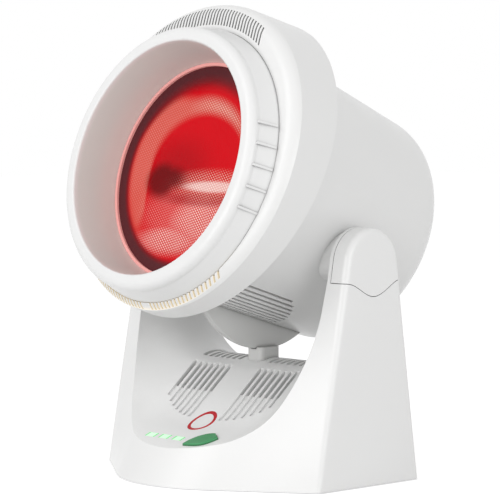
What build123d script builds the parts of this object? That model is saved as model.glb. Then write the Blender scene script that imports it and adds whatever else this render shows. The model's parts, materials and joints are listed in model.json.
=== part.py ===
"""Tabletop infrared heat lamp: a round lamp head that tilts between the two uprights of a moulded base.

Millimetres, +Z up. The lamp faces -Y and its left and right are mirrored about X = 0. The lamp is saved
with its origin on the table, under the middle of its overall width and depth.
"""

import os
from math import atan2, cos, radians, sin, sqrt, tan

from build123d import *

# ---------------------------------------------------------------- driving dimensions (mm, degrees)
# Tilt axis and how far the head leans back at rest
PIVOT_Y = 7.5
PIVOT_Z = 133.0
HEAD_TILT = 19.9
DEPTH_CENTRE_Y = 3.19  # middle of the overall depth in the drawing's frame; the saved lamp is centred

# Mouldings
WALL = 2.5  # wall of every plastic shell
SEAM_GAP = 0.4  # visible line between two mouldings
RUN_GAP = 0.3  # air between parts that move past each other
PIN_FIT = 0.05  # radial play of a pin that turns in its bush
LOOSE_FIT = 0.2  # radial play of a screw or stem in its hole

# Widths that follow from the barrel: the head's size sets the base's
BARREL_FRONT_R = 79.2
BARREL_TAPER = 7.2  # how much smaller the barrel's back is
SADDLE_HALF_WIDTH = BARREL_FRONT_R - 0.1  # the barrel is narrower where it passes the uprights
UPRIGHT_T = 14.6
BASE_HALF_WIDTH = SADDLE_HALF_WIDTH + UPRIGHT_T

# Base: outer form
UPRIGHT_TOP = 150.2
BASE_RIM_Z = 0.4  # the housing's lower rim stands this far off the table
FRONT_CORNER_Y = -37.3
FRONT_LEAN = 9.8
REAR_Y = 46.5
REAR_LEAN = 8.0
FLANK_ANGLE_FOOT = 35.4  # how far the front's two halves sweep back at the foot
FLANK_ANGLE_TOP = 0.01  # and at the covers' seam, where the front is flat
NOSE_HALF_WIDTH = 41.0  # half of the rounded middle of the front
SIDE_EDGE_R = 4.0

# Base: the U-shaped saddle between the uprights
SADDLE_CORNER_R = 41.0
VALLEY_Y = -41.1
VALLEY_Z = 34.2
VALLEY_R = 62.0
CREST_Y = 4.05
CREST_Z = 72.65
CREST_R = 30.0
DISH_SLOPE = 21.0
DECK_FALL = 20.0

# Base: vents of the saddle
SLOT_WIDTH = 3.0
SLOT_COUNT = 7  # in each group
SLOT_FIRST_X = 13.6
SLOT_LAST_X = 44.8
SLOT_TOP_Y = -6.3
SLOT_THROUGH_Y = -22.5  # below this the slots are only grooves
SLOT_INNER_FOOT_Y = -41.4
SLOT_OUTER_FOOT_Y = -29.9
GROOVE_DEPTH = 1.2
REAR_SLOT_FRONT_Y = -0.5
REAR_SLOT_BACK_Y = 24.0

# Pivot covers
SHOULDER_Z = 119.2  # above this the uprights are rounded off
COVER_SEAM_Z = 118.5
COVER_DIP_Y = 7.3
# The covers' wavy seam: points along it from the dip, and their height over the seam
COVER_WAVE = ((-28.0, 0.0), (-19.0, -0.6), (0.0, -8.3), (17.0, -0.6), (26.0, 0.6))
COVER_TAB_Y = 14.0  # from the tilt axis
COVER_TAB_WIDTH = 6.0
COVER_TAB_T = 2.2
COVER_TAB_REACH = 10.0

# Base: underside
PLATE_T = 2.5
PLATE_Z = 3.0
PLATE_GAP = 0.2  # all round the plate
FOOT_R = 8.0
FOOT_POCKET = 1.2
FOOT_CHAMFER = 0.8
FOOT_X = BASE_HALF_WIDTH - 23.7
FOOT_FRONT_Y = -32.0
FOOT_REAR_Y = 34.0
BOSS_R = 5.2
BOSS_BITE = 0.7  # how far a boss runs into the side wall
BOSS_FRONT_Y = -22.0
BOSS_REAR_Y = 34.0
BOSS_HEIGHT = 16.0
SCREW_R = 1.5
SCREW_HEAD_R = 3.0
SCREW_HEAD_T = 2.0
SCREW_SINK = 1.0
SCREW_LENGTH = 11.0
SMALL_SCREW_R = 1.0
SMALL_HEAD_R = 2.0
SMALL_HEAD_T = 1.4
AIR_SLOT_COUNT = 5
AIR_SLOT_PITCH = 6.0
AIR_SLOT_WIDTH = 2.5
AIR_SLOT_HALF_X = 24.0
AIR_SLOT_FIRST_Y = -50.0

# Base: controls
LED_COUNT = 3
LED_PITCH = 11.9
LED_FIRST_X = -21.3
LED_Y = -63.8
LED_WINDOW_X = 8.0
LED_WINDOW_D = 4.4
LED_CHIP = (3.2, 2.8)
LED_CHAMFER = 0.4
GUIDE_LIP = 1.0
BUTTON_X = 21.9
BUTTON_Y = -63.6
BUTTON_TURN = 42.0
BUTTON_LENGTH = 21.6
BUTTON_WIDTH = 12.4
BUTTON_WIDEST = 1.8  # widest this far beyond its middle
BUTTON_CUT = 1.5  # how far its blunt end slants
BUTTON_PROUD = 1.6
BUTTON_TRAVEL = 0.8
MARKER_X = 1.9
MARKER_Y = -44.4
MARKER_R = 8.9
MARKER_BAND = 2.1
INLAY_DEPTH = 0.6
BOARD_DROP = 9.5  # control board below the dish's surface
BOARD_X = 54.0
BOARD_D = 24.0
BOARD_CORNER_R = 1.5
BOARD_SHIFT = 4.0  # board's middle behind the row of lights
BOARD_T = 1.6
BOARD_BOSS_R = 2.2
BOARD_BOSSES = ((-23.5, -55.5), (9.5, -69.0))
LED_HEIGHT = 1.6
SWITCH_SIDE = 6.0
SWITCH_BODY = 2.2
SWITCH_HEIGHT = 3.0
SWITCH_PLUNGER_R = 1.6
BUTTON_EDGE_R = 0.8
BUTTON_FLANGE = 1.0
BUTTON_FLANGE_T = 1.2

# Base: mains side
POWER_BOARD_Z = 11.0
POWER_POST_R = 3.0
POWER_POST_X = (-43.0, -3.0)
POWER_POST_Y = (-9.0, 25.0)
POWER_BOARD_MARGIN = 5.0
RELAY_X = -38.0
RELAY_Y = 10.0
RELAY_SIZE = (19.0, 15.0, 15.0)
TRANSFORMER_X = -16.0
TRANSFORMER_Y = 10.0
COIL_SIZE = (24.0, 16.0, 20.0)
CORE_SIZE = (16.0, 26.0, 23.0)
TERMINAL_Y = 32.0
TERMINAL_HALF = (8.0, 5.5)
TERMINAL_HEIGHT = 10.0
TERMINAL_PITCH = 8.0
GLAND_X = -58.0
GLAND_Z = 17.0
GLAND_R = 6.0
GLAND_LIP = 2.0
GLAND_LIP_T = 1.5
GLAND_PROUD = 5.0
GLAND_BORE_R = 3.2
TERMINAL_BORE_R = 1.6
TERMINAL_SCREW_R = 1.9

# Post and tilting brake
POST_X = 13.4
POST_Y = 16.6
POST_TOP_Z = 75.0
POST_CORNER_R = 3.4
POST_SCREW_INSET = 2.2
POST_SCREW_TOP_Z = 72.0
PAD_Y = 5.0
KEEL_R = 59.4
KEEL_T = 4.4
KEEL_EDGE_R = 1.0
KEEL_SCREW_W = (-18.0, 18.0)
KEEL_SCREW_BITE = 8.0

# Head: barrel
BARREL_DROP = 44.3  # how far its front's underside lies below the tilt axis
BARREL_U = BARREL_FRONT_R - BARREL_DROP  # barrel axis above the tilt axis
BARREL_BACK_W = -73.0
BARREL_REAR_R = BARREL_FRONT_R - BARREL_TAPER
BARREL_FRONT_W = 60.0
BARREL_CORNER_R = 18.0
BARREL_FLANGE = 6.0  # how far its clamping flange reaches past the ring's hole

# Head: outer ring, a wedge-shaped hood between two leaning planes
RING_REAR_W = 52.9
RING_REAR_U = BARREL_U + 1.1
RING_REAR_LEAN = 4.9
RING_REAR_HALF_X = BARREL_FRONT_R + 12.8
RING_REAR_HALF_U = BARREL_FRONT_R + 17.6
RING_FRONT_U = BARREL_U - 1.7
RING_FRONT_R = BARREL_FRONT_R + 14.8
RING_FRONT_LEAN = -2.1
RING_EDGE_R = 9.0
RING_FLARE = 0.06  # how fast the soft edge's envelope widens behind the front
RING_SCREW_R = BARREL_FRONT_R + 3.0

# Head: front bezel, turned about an axis that droops from the barrel's
NOSE_W = 85.0
NOSE_U = BARREL_U - 8.6
NOSE_DROOP = 3.6
NOSE_FOOT_R = BARREL_FRONT_R + 4.2
NOSE_SHOULDER_R = NOSE_FOOT_R - 3.4
NOSE_LENGTH = 17.4
NOSE_SKIRT = 8.0
NOSE_EDGE_R = 5.0
NOSE_FLANGE = 4.6
MOUTH_R = NOSE_SHOULDER_R - 9.2
MOUTH_EDGE_R = 1.2
THROAT_R = MOUTH_R - 4.8
THROAT_DEPTH = 29.6
RIB_COUNT = 5
RIB_PITCH = 8.9
RIB_FIRST_ANGLE = -19.5
RIB_FOOT_HEIGHT = 0.5  # over the nose's side, where the rib starts
RIB_HEAD_HEIGHT = 1.2  # and at its front end
RIB_T = 1.3
RIB_SPAN = (0.6, 13.2)

# Head: vents
CROWN_SLOT_COUNT = 37
CROWN_SLOT_PITCH = 2.6
CROWN_SLOT_WIDTH = 1.2
CROWN_INNER_MARGIN = 3.0  # from the bezel
CROWN_OUTER_MARGIN = 4.0  # from the ring's outline
CHIN_SLOT_COUNT = 19  # on each side
CHIN_SLOT_PITCH = 2.9
CHIN_SLOT_WIDTH = 1.3
CHIN_SLOT_FIRST_X = 4.4
CHIN_SLOT_DEPTH = 3.4
CHIN_SLOT_BACK = 6.0
BELLY_SLOT_COUNT = 9  # on each side
BELLY_SLOT_FIRST = 3.8
BELLY_SLOT_STEP = 3.3
BELLY_SLOT_WIDTH = 1.9
BELLY_SLOT_FRONT_W = 43.0
BELLY_OVAL_W = 30.0
BELLY_OVAL_LENGTH = 48.0
BELLY_OVAL_ANGLE = 37.0
BACK_SLOT_COUNT = 9
BACK_SLOT_PITCH = 8.0
BACK_SLOT_WIDTH = 2.6
BACK_VENT_R = 42.0

# Head: glass, lamp and reflector
GLASS_R = THROAT_R + 2.5
GLASS_T = 4.0
SEAL_T = 1.5
SEAL_INNER_R = THROAT_R - 1.8
GLASS_CHAMFER = 0.6
CLIP_ANGLES = (30.0, 150.0, 210.0, 330.0)
CLIP_T = 1.0
CLIP_HALF = 3.0
CLIP_REACH = 5.0
CLIP_SCREW_R = GLASS_R + 6.3
CLIP_BOSS_R = 3.5
CLIP_SCREW_LENGTH = 9.0
SHEET = 1.0
REFLECTOR_RIM_R = GLASS_R - 7.5
REFLECTOR_WAIST_R = REFLECTOR_RIM_R - 11.0
REFLECTOR_DEPTH = 48.0
REFLECTOR_FLOOR_R = 24.0
TUBE_R = 5.0
CERAMIC_R = 8.0
CERAMIC_LENGTH = 16.0
CERAMIC_CHAMFER = 0.8
TUBE_LENGTH = 2 * (GLASS_R - CERAMIC_LENGTH - SHEET - PIN_FIT)  # the lamp is as wide as the glass
TUBE_BEHIND_GLASS = 30.0
PINCH_LENGTH = 8.0
PINCH_WIDTH = 7.0
PINCH_T = 2.0
BRACKET_HALF = 6.0
CUTOUT_R = 9.0
CUTOUT_T = 8.0
CUTOUT_TAB_LENGTH = 8.0

# Trunnions
TRUNNION_PAD_R = 15.0
TRUNNION_PAD_X = SADDLE_HALF_WIDTH - 5.1
TRUNNION_SEAT_X = TRUNNION_PAD_X - 19.0  # inner end of its pad, inside the barrel
TRUNNION_FLANGE_R = 12.5
TRUNNION_SHAFT_R = 6.0
BUSH_WALL = 2.5
BUSH_FLANGE_T = 0.8
BUSH_END_X = SADDLE_HALF_WIDTH + 4.5
WASHER_T = 1.2
WASHER_R = 11.0
NUT_T = 3.6
TRUNNION_END_X = BUSH_END_X + RUN_GAP + WASHER_T + NUT_T + 1.5
NUT_R = 8.5

# ---------------------------------------------------------------- frames
FAR = 300.0  # longer than anything in the lamp
HEAD = Plane(
    origin=(0, PIVOT_Y, PIVOT_Z),
    x_dir=(1, 0, 0),
    z_dir=(0, -cos(radians(HEAD_TILT)), sin(radians(HEAD_TILT))),
)


def leaning(u, w, lean):
    """A plane across the head, u above the tilt axis and w in front of it, whose top leans back by lean."""
    return Plane(
        origin=(0, u, w), x_dir=(1, 0, 0), z_dir=(0, sin(radians(lean)), cos(radians(lean)))
    )


NOSE = leaning(NOSE_U, NOSE_W, -NOSE_DROOP)
DISH_NORMAL = (0, -sin(radians(DISH_SLOPE)), cos(radians(DISH_SLOPE)))


def dish_z(y):
    """Height of the saddle's front dish at y."""
    return VALLEY_Z + (y - VALLEY_Y) * tan(radians(DISH_SLOPE))


def crest_z(y):
    """Height of the saddle's crest at y, on the arc that joins the ramp to the deck."""
    rise = atan2(CREST_Z - VALLEY_Z, CREST_Y - VALLEY_Y)
    fall = radians(DECK_FALL)
    reach = CREST_R / cos((rise + fall) / 2)
    lean = (rise - fall) / 2
    middle_y = CREST_Y + reach * sin(lean)
    middle_z = CREST_Z - reach * cos(lean)
    return middle_z + sqrt(CREST_R**2 - (y - middle_y) ** 2)


def dish_plane(x, y):
    """The dish's surface at x, y, with its normal as local Z."""
    return Plane(origin=(x, y, dish_z(y)), x_dir=(1, 0, 0), z_dir=DISH_NORMAL)


def turned(points, corner_radii=None):
    """A solid turned about local Z from (radius, height) points, with rounded corners where given."""
    line = Polyline(*points, close=True)
    face = make_face(Plane.XZ * line)
    if corner_radii:
        for index, radius in corner_radii.items():
            r, z = points[index]
            corner = face.vertices().sort_by_distance((r, 0, z))[0]
            face = fillet(corner, radius)
    return revolve(face, Axis.Z)


def rod(radius, start, end):
    """A cylinder along local Z."""
    return Pos(0, 0, start) * Cylinder(radius, end - start, align=(Align.CENTER, Align.CENTER, Align.MIN))


def tube(outer, inner, start, end):
    """A hollow cylinder along local Z."""
    return rod(outer, start, end) - rod(inner, start, end)


def x_rod(radius, start, end):
    """A cylinder along X, between two distances from the middle on the +X side."""
    return Plane.YZ * rod(radius, start, end)


def axle(radius, length):
    """A cylinder along X, centred on the middle."""
    return Plane.YZ * Cylinder(radius, length)


def brick(x, y, z):
    """A box from three (low, high) pairs."""
    size = (x[1] - x[0], y[1] - y[0], z[1] - z[0])
    return Pos(x[0], y[0], z[0]) * Box(*size, align=(Align.MIN, Align.MIN, Align.MIN))


def both_sides(shape):
    """The shape and its mirror image across the middle of the lamp."""
    return [shape, mirror(shape, Plane.YZ)]


# ---------------------------------------------------------------- base housing
def base_outline(z, angle, inset):
    """Horizontal section of the base: flat back and sides, swept flanks and a rounded nose."""
    half = BASE_HALF_WIDTH - inset
    back = REAR_Y - z * tan(radians(REAR_LEAN)) - inset
    sweep = tan(radians(angle))
    corner = FRONT_CORNER_Y + z * tan(radians(FRONT_LEAN)) + inset / cos(radians(angle)) - inset * sweep
    shoulder = corner - (half - NOSE_HALF_WIDTH) * sweep
    tip = shoulder - NOSE_HALF_WIDTH * tan(radians(angle) / 2)
    sides = Polyline(
        (-NOSE_HALF_WIDTH, shoulder),
        (-half, corner),
        (-half, back),
        (half, back),
        (half, corner),
        (NOSE_HALF_WIDTH, shoulder),
    )
    nose = ThreePointArc((NOSE_HALF_WIDTH, shoulder), (0, tip), (-NOSE_HALF_WIDTH, shoulder))
    return Plane.XY.offset(z) * make_face(sides + nose)


def upright_top(inset):
    """The two uprights' tops above the shoulder, as one block: leaning sides and a full round."""
    front, rear = radians(FRONT_LEAN), radians(REAR_LEAN)
    depth = REAR_Y - FRONT_CORNER_Y - (tan(front) + tan(rear)) * UPRIGHT_TOP
    radius = depth / (1 / cos(front) + 1 / cos(rear) - tan(front) - tan(rear))
    z = UPRIGHT_TOP - radius
    y = FRONT_CORNER_Y + tan(front) * z + radius / cos(front)
    radius -= inset
    in_front = (y - radius * cos(front), z + radius * sin(front))
    behind = (y + radius * cos(rear), z + radius * sin(rear))
    low_front = (in_front[0] - (in_front[1] - SHOULDER_Z) * tan(front), SHOULDER_Z)
    low_rear = (behind[0] + (behind[1] - SHOULDER_Z) * tan(rear), SHOULDER_Z)
    line = Polyline(in_front, low_front, low_rear, behind)
    line += ThreePointArc(behind, (y, z + radius), in_front)
    return Plane.YZ * extrude(make_face(line), amount=BASE_HALF_WIDTH - inset, both=True)


def outer_form(inset, edge_radius):
    """The base without its saddle: everything the uprights and the foot are cut from."""
    foot = base_outline(0, FLANK_ANGLE_FOOT, inset)
    seam = base_outline(SHOULDER_Z, FLANK_ANGLE_TOP, inset)
    lower = loft([foot, seam], ruled=True)
    upper = upright_top(inset)
    if edge_radius:
        half = BASE_HALF_WIDTH - inset
        upright = [e for e in lower.edges() if abs(abs(e.center().X) - half) < 0.01]
        upright = [e for e in upright if 1 < e.center().Z < SHOULDER_Z - 1]
        lower = fillet(upright, edge_radius)
        round_edges = [e for e in upper.edges() if abs(abs(e.center().X) - half) < 0.01]
        round_edges = [e for e in round_edges if e.center().Z > SHOULDER_Z + 0.1]
        upper = fillet(round_edges, edge_radius)
    return lower + upper


def saddle(grow):
    """The air above the saddle's floor and between the uprights, enlarged by grow into the housing."""
    floor = FilletPolyline(
        (-FAR, dish_z(-FAR)),
        (VALLEY_Y, VALLEY_Z),
        (CREST_Y, CREST_Z),
        (FAR, CREST_Z - (FAR - CREST_Y) * tan(radians(DECK_FALL))),
        radius=[VALLEY_R, CREST_R],
    )
    lid = Polyline(floor @ 1, (FAR, FAR), (-FAR, FAR), floor @ 0)
    section = make_face(floor + lid)
    if grow:
        section = offset(section, amount=grow, kind=Kind.INTERSECTION)
    half = SADDLE_HALF_WIDTH + grow
    air = Plane.YZ * extrude(section, amount=half, both=True)
    walls = [face for face in air.faces() if abs(abs(face.center().X) - half) < 0.01]
    edges = [edge for wall in walls for edge in wall.edges() if edge.center().Z < FAR / 2]
    edges = [edge for edge in edges if abs(edge.center().Y) < FAR - 1]
    return fillet(edges, SADDLE_CORNER_R + grow)


def cover_zone(gap):
    """The space of the right pivot cover: outside the inner wall and above the wavy seam."""
    front, rear = FRONT_CORNER_Y, REAR_Y
    wave = [(COVER_DIP_Y + along, COVER_SEAM_Z + lift + gap) for along, lift in COVER_WAVE]
    seam = Spline(*wave, tangents=[(1, 0), (1, 0)])
    lid = Polyline(seam @ 1, (rear, wave[-1][1]), (rear, FAR), (front, FAR))
    lid += Polyline((front, FAR), (front, wave[0][1]), seam @ 0)
    zone = Plane.YZ * extrude(make_face(seam + lid), amount=FAR)
    return Pos(SADDLE_HALF_WIDTH + WALL + gap, 0, 0) * zone


def slot_x(index):
    return SLOT_FIRST_X + (SLOT_LAST_X - SLOT_FIRST_X) * index / (SLOT_COUNT - 1)


def deck_slots():
    """Blades that cut the saddle's vents: two groups on the ramp, two that run back over the deck."""
    grooves = saddle(GROOVE_DEPTH)
    blades = []
    for index in range(SLOT_COUNT):
        x = slot_x(index)
        foot = SLOT_INNER_FOOT_Y + (SLOT_OUTER_FOOT_Y - SLOT_INNER_FOOT_Y) * (
            index / (SLOT_COUNT - 1)
        ) ** 1.6
        span = (x - SLOT_WIDTH / 2, x + SLOT_WIDTH / 2)
        through = brick(span, (max(SLOT_THROUGH_Y, foot), SLOT_TOP_Y), (0, FAR))
        groove = brick(span, (foot, SLOT_THROUGH_Y), (0, FAR)) & grooves
        rear = brick(span, (REAR_SLOT_FRONT_Y, REAR_SLOT_BACK_Y), (0, FAR))
        blades += both_sides(through) + both_sides(groove) + both_sides(rear)
    return blades


def boss_places():
    x = BASE_HALF_WIDTH - WALL - BOSS_R + BOSS_BITE
    return [(side * x, y) for y in (BOSS_FRONT_Y, BOSS_REAR_Y) for side in (1, -1)]


def petal(grow):
    """Leaf-shaped outline of the push button, pointed at one end and cut off at the other."""
    half, wide = BUTTON_LENGTH / 2 + grow, BUTTON_WIDTH / 2 + grow
    blunt = half - BUTTON_CUT
    top = Spline((-half, 0), (BUTTON_WIDEST, wide), (blunt, wide * 0.62), tangents=[(1, 1.1), (1, -0.9)])
    bottom = Spline((half, -wide * 0.5), (BUTTON_WIDEST, -wide), (-half, 0), tangents=[(-1, -0.6), (-1, 0.7)])
    return make_face(top + Line(top @ 1, bottom @ 0) + bottom)


def button_frame():
    return dish_plane(BUTTON_X, BUTTON_Y) * Rot(0, 0, BUTTON_TURN)


def led_x(index):
    return LED_FIRST_X + index * LED_PITCH


def led_windows(grow):
    """Blocks through the dish for the light guides."""
    return [
        dish_plane(led_x(index), LED_Y)
        * Box(LED_WINDOW_X + 2 * grow, LED_WINDOW_D + 2 * grow, 4 * WALL)
        for index in range(LED_COUNT)
    ]


def base_shell():
    """Base housing and pivot covers in one piece, before they are parted."""
    outer = outer_form(0, SIDE_EDGE_R)
    void = outer_form(WALL, 0) - saddle(WALL)
    shell = outer - saddle(0) - void
    return shell - brick((-FAR, FAR), (-FAR, FAR), (-FAR, BASE_RIM_Z))


def base_housing(shell):
    body = shell - both_sides(cover_zone(0))
    bush_hole = x_rod(bush_radius(), SADDLE_HALF_WIDTH - WALL, SADDLE_HALF_WIDTH + 2 * WALL)
    body -= both_sides(Pos(0, PIVOT_Y, PIVOT_Z) * bush_hole)
    body -= deck_slots()
    body -= led_windows(LOOSE_FIT / 2)
    body -= button_frame() * extrude(petal(RUN_GAP), amount=2 * WALL, both=True)
    body -= marker_band(0)
    plate_top = PLATE_Z + PLATE_T
    for x, y in boss_places():
        body += Pos(x, y, 0) * rod(BOSS_R, plate_top, plate_top + BOSS_HEIGHT)
        body -= Pos(x, y, 0) * rod(SCREW_R, 0, plate_top + BOSS_HEIGHT - WALL)
    for place in board_posts():
        body += place * rod(BOARD_BOSS_R, -BOARD_DROP, -WALL / 2)
        body -= place * rod(SMALL_SCREW_R, -2 * BOARD_DROP, -WALL - 1)
    for x, y in post_screw_places():
        body -= Pos(x, y, 0) * rod(SMALL_SCREW_R + LOOSE_FIT, 0, FAR)
    body -= gland_plane() * rod(GLAND_R + PIN_FIT, -2 * WALL, 2 * WALL)
    return body


def pivot_cover(shell):
    """Cap of the right upright, with two tabs that reach down behind the housing's wall."""
    body = shell & cover_zone(SEAM_GAP)
    wall = BASE_HALF_WIDTH - WALL
    for side in (1, -1):
        middle = PIVOT_Y + side * COVER_TAB_Y
        along = (middle - COVER_TAB_WIDTH / 2, middle + COVER_TAB_WIDTH / 2)
        high = (COVER_SEAM_Z - COVER_TAB_REACH, COVER_SEAM_Z + COVER_TAB_REACH)
        body += brick((wall - LOOSE_FIT - COVER_TAB_T, wall - LOOSE_FIT), along, high)
        root = (COVER_SEAM_Z + 2 * WALL, COVER_SEAM_Z + COVER_TAB_REACH)
        body += brick((wall - LOOSE_FIT - COVER_TAB_T, wall + WALL / 2), along, root)
    return body


# ---------------------------------------------------------------- base fittings
def foot_places():
    return [(x, y) for y in (FOOT_FRONT_Y, FOOT_REAR_Y) for x in (FOOT_X, -FOOT_X)]


def base_plate():
    """Flat underside with foot pockets, air slots, sunk screw holes and stand-offs for the power board."""
    layer = brick((-FAR, FAR), (-FAR, FAR), (PLATE_Z, PLATE_Z + PLATE_T))
    plate = outer_form(WALL + PLATE_GAP, 0) & layer
    for x, y in power_posts():
        plate += Pos(x, y, 0) * rod(POWER_POST_R, PLATE_Z, POWER_BOARD_Z)
        plate -= Pos(x, y, 0) * rod(SMALL_SCREW_R, PLATE_Z + PLATE_T, POWER_BOARD_Z)
    for x, y in foot_places():
        plate -= Pos(x, y, 0) * rod(FOOT_R + LOOSE_FIT, 0, PLATE_Z + FOOT_POCKET)
    for x, y in boss_places():
        plate -= Pos(x, y, 0) * rod(SCREW_R + LOOSE_FIT, 0, FAR)
        plate -= Pos(x, y, 0) * rod(SCREW_HEAD_R + LOOSE_FIT, 0, PLATE_Z + SCREW_SINK)
    for index in range(AIR_SLOT_COUNT):
        y = AIR_SLOT_FIRST_Y + AIR_SLOT_PITCH * index
        air = (y - AIR_SLOT_WIDTH / 2, y + AIR_SLOT_WIDTH / 2)
        plate -= brick((-AIR_SLOT_HALF_X, AIR_SLOT_HALF_X), air, (0, FAR))
    return plate


def rubber_feet():
    foot = rod(FOOT_R, 0, PLATE_Z + FOOT_POCKET)
    foot = chamfer(foot.edges().group_by(Axis.Z)[0], FOOT_CHAMFER)
    return [Pos(x, y, 0) * foot for x, y in foot_places()]


def base_screws():
    seat = PLATE_Z + SCREW_SINK
    screw = rod(SCREW_HEAD_R, seat - SCREW_HEAD_T, seat)
    screw += rod(SCREW_R - PIN_FIT, seat, seat + SCREW_LENGTH)
    return [Pos(x, y, 0) * screw for x, y in boss_places()]


def bush_radius():
    return TRUNNION_SHAFT_R + BUSH_WALL


def bearing_bush():
    """Flanged plastic bush in the inner wall of an upright."""
    start = SADDLE_HALF_WIDTH - BUSH_FLANGE_T
    bush = x_rod(bush_radius(), start, BUSH_END_X)
    bush += x_rod(TRUNNION_FLANGE_R, start, SADDLE_HALF_WIDTH)
    bush -= x_rod(TRUNNION_SHAFT_R, 0, FAR)
    return Pos(0, PIVOT_Y, PIVOT_Z) * bush


def post_screw_places():
    reach = POST_Y / 2 - POST_SCREW_INSET
    return [(0, PIVOT_Y - reach), (0, PIVOT_Y + reach)]


def keel_space():
    """The air that the keel's rim needs about the tilt axis."""
    return Pos(0, PIVOT_Y, PIVOT_Z) * axle(KEEL_R + RUN_GAP, KEEL_T + 2 * RUN_GAP)


def pad_block(grow):
    half_x, half_y = KEEL_T / 2 + grow, PAD_Y / 2 + grow
    return brick((-half_x, half_x), (PIVOT_Y - half_y, PIVOT_Y + half_y), (0, POST_TOP_Z))


def brake_post():
    """Short post on the deck whose fork guides the keel's rim and frames the brake pad."""
    plan = Pos(0, PIVOT_Y) * RectangleRounded(POST_X, POST_Y, POST_CORNER_R)
    body = extrude(plan, amount=POST_TOP_Z) & saddle(0)
    body -= keel_space()
    body -= pad_block(LOOSE_FIT)
    for x, y in post_screw_places():
        body -= Pos(x, y, 0) * rod(SMALL_SCREW_R, 0, POST_SCREW_TOP_Z + PIN_FIT)
    return body


def brake_pad():
    """Felt pad on the deck whose top follows the keel's rim."""
    return (pad_block(0) & saddle(0)) - keel_space()


def post_screws():
    """Two screws that hold the post from below the deck."""
    screws = []
    for x, y in post_screw_places():
        under = crest_z(y) - WALL - 2 * SMALL_HEAD_T
        head = rod(SMALL_HEAD_R, under, CREST_Z)
        shank = rod(SMALL_SCREW_R - PIN_FIT, under, POST_SCREW_TOP_Z)
        screws.append((Pos(x, y, 0) * head - saddle(WALL)) + Pos(x, y, 0) * shank)
    return screws


# ---------------------------------------------------------------- controls
def board_posts():
    return [dish_plane(x, y) for x, y in BOARD_BOSSES]


def control_board():
    board = extrude(RectangleRounded(BOARD_X, BOARD_D, BOARD_CORNER_R), amount=-BOARD_T)
    board = dish_plane(0, LED_Y + BOARD_SHIFT) * Pos(0, 0, -BOARD_DROP) * board
    for place in board_posts():
        board -= place * rod(SMALL_SCREW_R + LOOSE_FIT, -2 * BOARD_DROP, 0)
    return board


def board_screws():
    under = -BOARD_DROP - BOARD_T
    screw = rod(SMALL_HEAD_R, under - SMALL_HEAD_T, under)
    screw += rod(SMALL_SCREW_R - PIN_FIT, under, -BOARD_DROP / 2)
    return [place * screw for place in board_posts()]


def light_guides():
    """Clear blocks that carry the light of the diodes to the dish's surface."""
    low = -BOARD_DROP + LED_HEIGHT + RUN_GAP
    guides = []
    for index in range(LED_COUNT):
        half_x, half_d = LED_WINDOW_X / 2, LED_WINDOW_D / 2
        block = brick((-half_x, half_x), (-half_d, half_d), (low, 0))
        half_x, half_d = half_x + GUIDE_LIP, half_d + GUIDE_LIP
        rim = brick((-half_x, half_x), (-half_d, half_d), (-WALL - GUIDE_LIP, -WALL))
        guides.append(dish_plane(led_x(index), LED_Y) * (block + rim))
    return guides


def status_leds():
    chip = Pos(0, 0, -BOARD_DROP) * extrude(Rectangle(*LED_CHIP), amount=LED_HEIGHT)
    chip = chamfer(chip.edges().group_by(Axis.Z)[-1], LED_CHAMFER)
    return [dish_plane(led_x(index), LED_Y) * chip for index in range(LED_COUNT)]


def tact_switch():
    body = extrude(RectangleRounded(SWITCH_SIDE, SWITCH_SIDE, 0.5), amount=SWITCH_BODY)
    body += rod(SWITCH_PLUNGER_R, SWITCH_BODY, SWITCH_HEIGHT)
    return button_frame() * Pos(0, 0, -BOARD_DROP) * body


def push_button():
    """Leaf-shaped key with a flange that keeps it in and a foot over the switch."""
    key = extrude(petal(0), amount=BUTTON_PROUD)
    key = fillet(key.edges().group_by(Axis.Z)[-1], BUTTON_EDGE_R)
    flange_top = -WALL - RUN_GAP
    key += extrude(petal(0), amount=flange_top)
    key += Pos(0, 0, flange_top - BUTTON_FLANGE_T) * extrude(petal(BUTTON_FLANGE), amount=BUTTON_FLANGE_T)
    foot = -BOARD_DROP + SWITCH_HEIGHT + BUTTON_TRAVEL + RUN_GAP
    key += rod(SWITCH_PLUNGER_R, foot, flange_top)
    return button_frame() * key


def marker_band(shrink):
    """Annular inlay that follows the curve of the saddle's valley."""
    ring = tube(MARKER_R - shrink, MARKER_R - MARKER_BAND + shrink, 0, FAR)
    skin = saddle(INLAY_DEPTH) - saddle(0)
    return (Pos(MARKER_X, MARKER_Y, 0) * ring) & skin


# ---------------------------------------------------------------- mains side
def power_posts():
    return [(x, y) for y in POWER_POST_Y for x in POWER_POST_X]


def power_board():
    wide = (POWER_POST_X[0] - POWER_BOARD_MARGIN, POWER_POST_X[1] + POWER_BOARD_MARGIN)
    deep = (POWER_POST_Y[0] - POWER_BOARD_MARGIN, POWER_POST_Y[1] + POWER_BOARD_MARGIN)
    board = brick(wide, deep, (POWER_BOARD_Z, POWER_BOARD_Z + BOARD_T))
    for x, y in power_posts():
        board -= Pos(x, y, 0) * rod(SMALL_SCREW_R + LOOSE_FIT, 0, FAR)
    return board


def power_screws():
    top = POWER_BOARD_Z + BOARD_T
    screw = rod(SMALL_HEAD_R, top, top + SMALL_HEAD_T)
    screw += rod(SMALL_SCREW_R - PIN_FIT, PLATE_Z + PLATE_T + 1, top)
    return [Pos(x, y, 0) * screw for x, y in power_posts()]


def on_power_board(x, y, size, corner):
    part = extrude(RectangleRounded(size[0], size[1], corner), amount=size[2])
    part = chamfer(part.edges().group_by(Axis.Z)[-1], corner / 2)
    return Pos(x, y, POWER_BOARD_Z + BOARD_T) * part


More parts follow.
